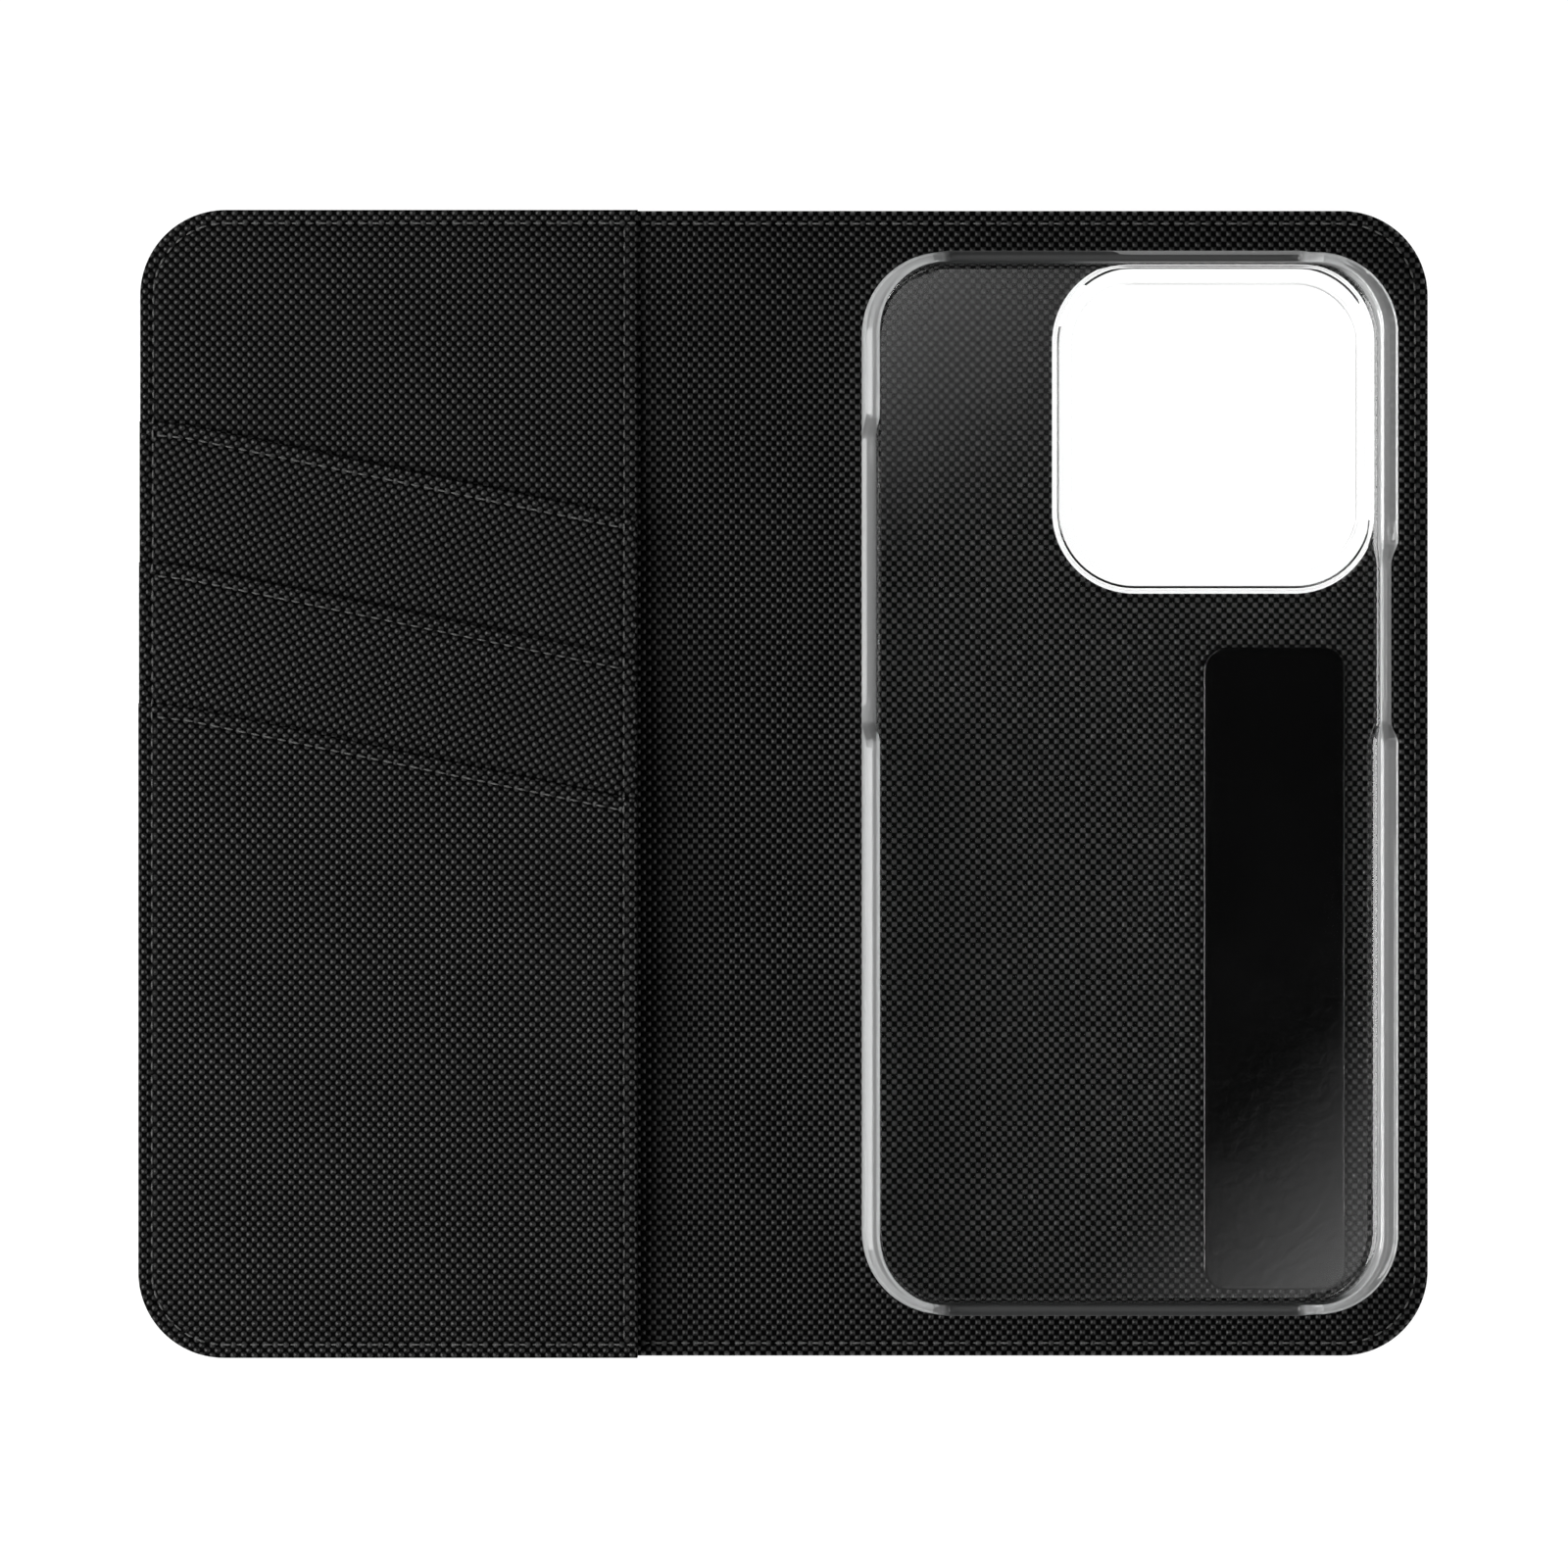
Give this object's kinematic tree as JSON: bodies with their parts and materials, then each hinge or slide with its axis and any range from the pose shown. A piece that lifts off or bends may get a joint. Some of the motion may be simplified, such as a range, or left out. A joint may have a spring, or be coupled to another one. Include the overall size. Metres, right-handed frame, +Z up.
{
  "type": "phone wallet case",
  "caption": "Folio phone wallet case lying open: a stiffened leather-look cover with slanted card pockets and a clear tray that holds the phone.",
  "frame": {"origin": "centre of the opened cover's outer face, which lies on the floor", "axes": "+X across the opened cover from the wallet side to the phone side, +Y along the spine towards the camera end, +Z up from the outer face to the inner side"},
  "size_m": [0.1838, 0.1636, 0.0127],
  "materials": {
    "outer_leather": "embossed grain, satin",
    "lining_leather": "embossed grain, satin",
    "pocket_leather": "embossed grain, satin",
    "board": "grey card",
    "adhesive_pad": "smooth film over foam",
    "clear_plastic": "clear, polished",
    "thread": "twisted polyester"
  },
  "bodies": {
    "back": {"outer_skin_back": "outer_leather", "board_back": "board", "lining_back": "lining_leather", "adhesive_pad": "adhesive_pad", "clear_shell": "clear_plastic", "stitch_back": "thread"},
    "spine": {"outer_skin_spine": "outer_leather", "board_spine": "board", "lining_spine": "lining_leather", "stitch_spine_top": "thread", "stitch_spine_bottom": "thread"},
    "front": {"outer_skin_front": "outer_leather", "board_front": "board", "lining_front": "lining_leather", "wallet_panel": "pocket_leather", "card_pocket_upper": "pocket_leather", "card_pocket_middle": "pocket_leather", "card_pocket_lower": "pocket_leather", "stitch_front": "thread", "stitch_wallet_panel": "thread", "stitch_pocket_upper": "thread", "stitch_pocket_middle": "thread", "stitch_pocket_lower": "thread"}
  },
  "joints": [
    {"name": "spine_fold", "type": "hinge", "parent": "back", "child": "spine", "pos_m": [0.00802, 0, 0.0012], "axis": [0, 1, 0], "range_deg": [-90, 90]},
    {"name": "cover_fold", "type": "hinge", "parent": "spine", "child": "front", "pos_m": [-0.00802, 0, 0.0012], "axis": [0, 1, 0], "range_deg": [-90, 90]}
  ]
}
